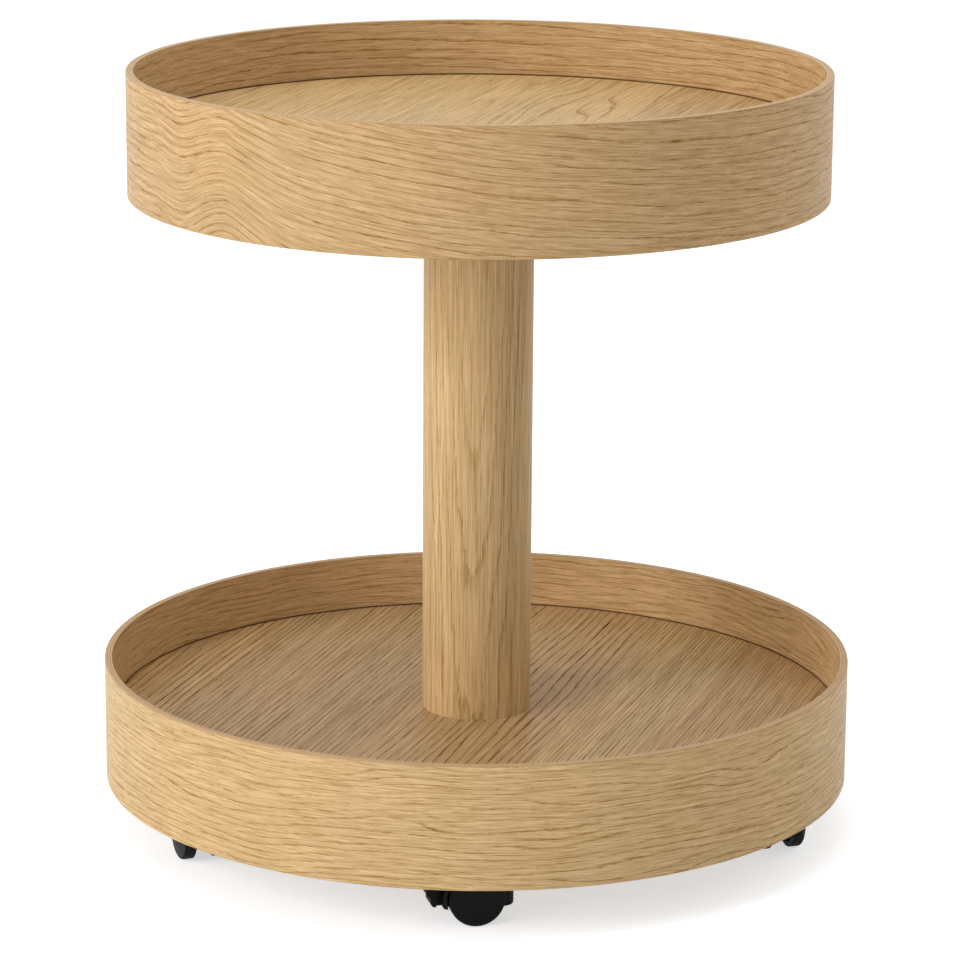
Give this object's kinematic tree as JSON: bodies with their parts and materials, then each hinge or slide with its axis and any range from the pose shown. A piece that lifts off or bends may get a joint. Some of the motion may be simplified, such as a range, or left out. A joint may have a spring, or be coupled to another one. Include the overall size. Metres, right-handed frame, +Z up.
{
  "type": "rolling side table",
  "caption": "Round side table on castors: two deep-rimmed oak trays, one above the other, joined by a thick round post, rolling on small black twin-wheel swivel castors.",
  "frame": {"origin": "on the floor under the middle of the post", "axes": "+Z up, along the post's axis; the front, where one castor stands, faces -Y; +X to the right"},
  "size_m": [0.48, 0.48, 0.491],
  "materials": {
    "rim_oak": "satin lacquered oak veneer, grain running round the rim",
    "tray_oak": "satin lacquered oak veneer in side-by-side leaves",
    "post_oak": "satin lacquered oak veneer, upright grain",
    "plain_wood": "bare wood",
    "zinc_steel": "zinc-plated",
    "castor_nylon": "satin moulded nylon",
    "wheel_nylon": "satin moulded nylon"
  },
  "bodies": {
    "table": {"top_rim": "rim_oak", "top_board": "tray_oak", "bottom_rim": "rim_oak", "bottom_board": "tray_oak", "post": "post_oak", "post_top_plug": "plain_wood", "post_bottom_plug": "plain_wood", "post_top_dowels": "plain_wood", "post_bottom_dowels": "plain_wood", "top_plate": "zinc_steel", "top_plate_screws": "zinc_steel", "tie_rod": "zinc_steel", "tie_rod_washer": "zinc_steel", "tie_rod_nut": "zinc_steel", "castor_screws": "zinc_steel", "castor_1_plate": "zinc_steel", "castor_1_king_pin": "zinc_steel", "castor_1_grip_ring": "zinc_steel", "castor_2_plate": "zinc_steel", "castor_2_king_pin": "zinc_steel", "castor_2_grip_ring": "zinc_steel", "castor_3_plate": "zinc_steel", "castor_3_king_pin": "zinc_steel", "castor_3_grip_ring": "zinc_steel", "castor_4_plate": "zinc_steel", "castor_4_king_pin": "zinc_steel", "castor_4_grip_ring": "zinc_steel", "castor_5_plate": "zinc_steel", "castor_5_king_pin": "zinc_steel", "castor_5_grip_ring": "zinc_steel"},
    "castor_1": {"castor_1_body": "castor_nylon", "castor_1_axle": "zinc_steel", "castor_1_lever_pin": "zinc_steel"},
    "castor_1_left_wheel": {"castor_1_left_wheel": "wheel_nylon"},
    "castor_1_right_wheel": {"castor_1_right_wheel": "wheel_nylon"},
    "castor_1_brake_lever": {"castor_1_brake_lever": "castor_nylon"},
    "castor_2": {"castor_2_body": "castor_nylon", "castor_2_axle": "zinc_steel"},
    "castor_2_left_wheel": {"castor_2_left_wheel": "wheel_nylon"},
    "castor_2_right_wheel": {"castor_2_right_wheel": "wheel_nylon"},
    "castor_3": {"castor_3_body": "castor_nylon", "castor_3_axle": "zinc_steel", "castor_3_lever_pin": "zinc_steel"},
    "castor_3_left_wheel": {"castor_3_left_wheel": "wheel_nylon"},
    "castor_3_right_wheel": {"castor_3_right_wheel": "wheel_nylon"},
    "castor_3_brake_lever": {"castor_3_brake_lever": "castor_nylon"},
    "castor_4": {"castor_4_body": "castor_nylon", "castor_4_axle": "zinc_steel"},
    "castor_4_left_wheel": {"castor_4_left_wheel": "wheel_nylon"},
    "castor_4_right_wheel": {"castor_4_right_wheel": "wheel_nylon"},
    "castor_5": {"castor_5_body": "castor_nylon", "castor_5_axle": "zinc_steel"},
    "castor_5_left_wheel": {"castor_5_left_wheel": "wheel_nylon"},
    "castor_5_right_wheel": {"castor_5_right_wheel": "wheel_nylon"}
  },
  "joints": [
    {"name": "castor_1_swivel", "type": "hinge", "parent": "table", "child": "castor_1", "pos_m": [0, -0.19391, 0.0355], "axis": [0, 0, 1], "continuous": true},
    {"name": "castor_1_left_wheel_spin", "type": "hinge", "parent": "castor_1", "child": "castor_1_left_wheel", "pos_m": [-0.01477, -0.19652, 0.0175], "axis": [0.1736, -0.9848, 0], "continuous": true},
    {"name": "castor_1_right_wheel_spin", "type": "hinge", "parent": "castor_1", "child": "castor_1_right_wheel", "pos_m": [-0.01477, -0.19652, 0.0175], "axis": [0.1736, -0.9848, 0], "continuous": true},
    {"name": "castor_1_brake_press", "type": "hinge", "parent": "castor_1", "child": "castor_1_brake_lever", "pos_m": [-0.02639, -0.19857, 0.0265], "axis": [0.1736, -0.9848, 0], "range_deg": [0, 12]},
    {"name": "castor_2_swivel", "type": "hinge", "parent": "table", "child": "castor_2", "pos_m": [0.18442, -0.05992, 0.0355], "axis": [0, 0, 1], "continuous": true},
    {"name": "castor_2_left_wheel_spin", "type": "hinge", "parent": "castor_2", "child": "castor_2_left_wheel", "pos_m": [0.18754, -0.07459, 0.0175], "axis": [0.9781, 0.2079, 0], "continuous": true},
    {"name": "castor_2_right_wheel_spin", "type": "hinge", "parent": "castor_2", "child": "castor_2_right_wheel", "pos_m": [0.18754, -0.07459, 0.0175], "axis": [0.9781, 0.2079, 0], "continuous": true},
    {"name": "castor_3_swivel", "type": "hinge", "parent": "table", "child": "castor_3", "pos_m": [0.11398, 0.15688, 0.0355], "axis": [0, 0, 1], "continuous": true},
    {"name": "castor_3_left_wheel_spin", "type": "hinge", "parent": "castor_3", "child": "castor_3_left_wheel", "pos_m": [0.10559, 0.14444, 0.0175], "axis": [0.829, -0.5592, 0], "continuous": true},
    {"name": "castor_3_right_wheel_spin", "type": "hinge", "parent": "castor_3", "child": "castor_3_right_wheel", "pos_m": [0.10559, 0.14444, 0.0175], "axis": [0.829, -0.5592, 0], "continuous": true},
    {"name": "castor_3_brake_press", "type": "hinge", "parent": "castor_3", "child": "castor_3_brake_lever", "pos_m": [0.09899, 0.13466, 0.0265], "axis": [0.829, -0.5592, 0], "range_deg": [0, 12]},
    {"name": "castor_4_swivel", "type": "hinge", "parent": "table", "child": "castor_4", "pos_m": [-0.11398, 0.15688, 0.0355], "axis": [0, 0, 1], "continuous": true},
    {"name": "castor_4_left_wheel_spin", "type": "hinge", "parent": "castor_4", "child": "castor_4_left_wheel", "pos_m": [-0.11607, 0.14203, 0.0175], "axis": [0.9903, -0.1392, 0], "continuous": true},
    {"name": "castor_4_right_wheel_spin", "type": "hinge", "parent": "castor_4", "child": "castor_4_right_wheel", "pos_m": [-0.11607, 0.14203, 0.0175], "axis": [0.9903, -0.1392, 0], "continuous": true},
    {"name": "castor_5_swivel", "type": "hinge", "parent": "table", "child": "castor_5", "pos_m": [-0.18442, -0.05992, 0.0355], "axis": [0, 0, 1], "continuous": true},
    {"name": "castor_5_left_wheel_spin", "type": "hinge", "parent": "castor_5", "child": "castor_5_left_wheel", "pos_m": [-0.18004, -0.07427, 0.0175], "axis": [0.9563, 0.2924, 0], "continuous": true},
    {"name": "castor_5_right_wheel_spin", "type": "hinge", "parent": "castor_5", "child": "castor_5_right_wheel", "pos_m": [-0.18004, -0.07427, 0.0175], "axis": [0.9563, 0.2924, 0], "continuous": true}
  ]
}
